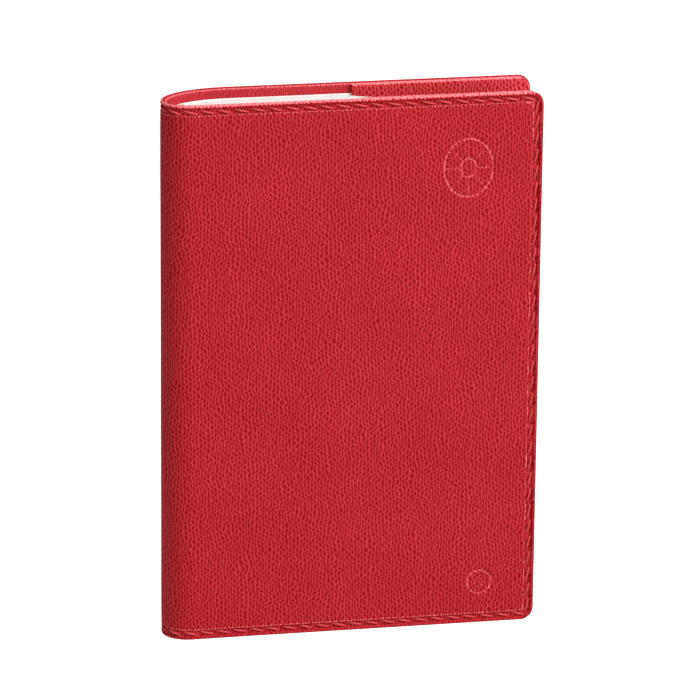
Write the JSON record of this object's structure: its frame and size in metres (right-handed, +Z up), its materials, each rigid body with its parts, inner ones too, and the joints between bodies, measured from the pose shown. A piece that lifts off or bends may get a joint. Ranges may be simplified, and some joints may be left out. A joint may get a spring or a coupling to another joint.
{
  "type": "pocket notebook",
  "caption": "Pocket notebook with a sewn refill in a soft padded slip-on cover, a stitched border, two inner pockets and covers and leaves that open.",
  "frame": {"origin": "on the surface it stands on, under the middle of the closed book", "axes": "+Z up along the spine, -Y out of the front cover, +X towards the fore-edge"},
  "size_m": [0.106, 0.019, 0.156],
  "materials": {
    "cover_skin": "red pebble-grained imitation leather, satin",
    "cover_lining": "red fine-grained imitation leather, matt",
    "cover_thread": "red twisted polyester thread",
    "foam": "thin off-white foam",
    "card": "uncoated white card",
    "endpaper": "smooth white paper",
    "paper": "smooth ruled white paper",
    "gauze": "open cotton gauze",
    "glue": "dried clear-white glue",
    "tape": "woven linen tape",
    "sewing_thread": "white linen thread"
  },
  "bodies": {
    "spine": {"spine_skin": "cover_skin", "spine_padding": "foam", "spine_lining": "cover_lining", "spine_stitching": "cover_thread", "spine_card": "card", "mull": "gauze", "spine_glue": "glue", "sewing_tapes": "tape", "sewing_thread": "sewing_thread", "section_folds": "paper"},
    "front_cover": {"front_skin": "cover_skin", "front_padding": "foam", "front_lining": "cover_lining", "front_pocket": "cover_skin", "front_stitching": "cover_thread", "front_card": "card"},
    "back_cover": {"back_skin": "cover_skin", "back_padding": "foam", "back_lining": "cover_lining", "back_pocket": "cover_skin", "back_stitching": "cover_thread", "back_card": "card"},
    "front_flyleaf": {"front_flyleaf": "endpaper"},
    "back_flyleaf": {"back_flyleaf": "endpaper"},
    "section_1": {"section_1": "paper"},
    "section_2": {"section_2": "paper"},
    "section_3": {"section_3": "paper"},
    "section_4": {"section_4": "paper"},
    "section_5": {"section_5": "paper"},
    "section_6": {"section_6": "paper"},
    "section_7": {"section_7": "paper"},
    "section_8": {"section_8": "paper"}
  },
  "joints": [
    {"name": "front_leaves", "type": "hinge", "parent": "spine", "child": "section_1", "pos_m": [-0.045, -0.0098, 0], "axis": [0, 0, -1], "range_deg": [0, 120]},
    {"name": "section_2_turn", "type": "hinge", "parent": "spine", "child": "section_2", "pos_m": [-0.045, -0.0098, 0], "axis": [0, 0, -1], "range_deg": [0, 108]},
    {"name": "section_3_turn", "type": "hinge", "parent": "spine", "child": "section_3", "pos_m": [-0.045, -0.0098, 0], "axis": [0, 0, -1], "range_deg": [0, 96]},
    {"name": "section_4_turn", "type": "hinge", "parent": "spine", "child": "section_4", "pos_m": [-0.045, -0.0098, 0], "axis": [0, 0, -1], "range_deg": [0, 84]},
    {"name": "front_flyleaf_turn", "type": "hinge", "parent": "section_1", "child": "front_flyleaf", "pos_m": [-0.045, -0.0098, 0], "axis": [0, 0, -1], "range_deg": [0, 60]},
    {"name": "front_cover_hinge", "type": "hinge", "parent": "front_flyleaf", "child": "front_cover", "pos_m": [-0.045, -0.0098, 0], "axis": [0, 0, 1], "range_deg": [-178, 0]},
    {"name": "back_leaves", "type": "hinge", "parent": "spine", "child": "section_8", "pos_m": [-0.045, 0.0098, 0], "axis": [0, 0, 1], "range_deg": [0, 120]},
    {"name": "section_7_turn", "type": "hinge", "parent": "spine", "child": "section_7", "pos_m": [-0.045, 0.0098, 0], "axis": [0, 0, 1], "range_deg": [0, 108]},
    {"name": "section_6_turn", "type": "hinge", "parent": "spine", "child": "section_6", "pos_m": [-0.045, 0.0098, 0], "axis": [0, 0, 1], "range_deg": [0, 96]},
    {"name": "section_5_turn", "type": "hinge", "parent": "spine", "child": "section_5", "pos_m": [-0.045, 0.0098, 0], "axis": [0, 0, 1], "range_deg": [0, 84]},
    {"name": "back_flyleaf_turn", "type": "hinge", "parent": "section_8", "child": "back_flyleaf", "pos_m": [-0.045, 0.0098, 0], "axis": [0, 0, 1], "range_deg": [0, 60]},
    {"name": "back_cover_hinge", "type": "hinge", "parent": "back_flyleaf", "child": "back_cover", "pos_m": [-0.045, 0.0098, 0], "axis": [0, 0, -1], "range_deg": [-178, 0]}
  ],
  "couplings": [
    {"joint": "section_2_turn", "follows": "front_leaves", "ratio": 0.9},
    {"joint": "section_3_turn", "follows": "front_leaves", "ratio": 0.8},
    {"joint": "section_4_turn", "follows": "front_leaves", "ratio": 0.7},
    {"joint": "section_7_turn", "follows": "back_leaves", "ratio": 0.9},
    {"joint": "section_6_turn", "follows": "back_leaves", "ratio": 0.8},
    {"joint": "section_5_turn", "follows": "back_leaves", "ratio": 0.7}
  ]
}
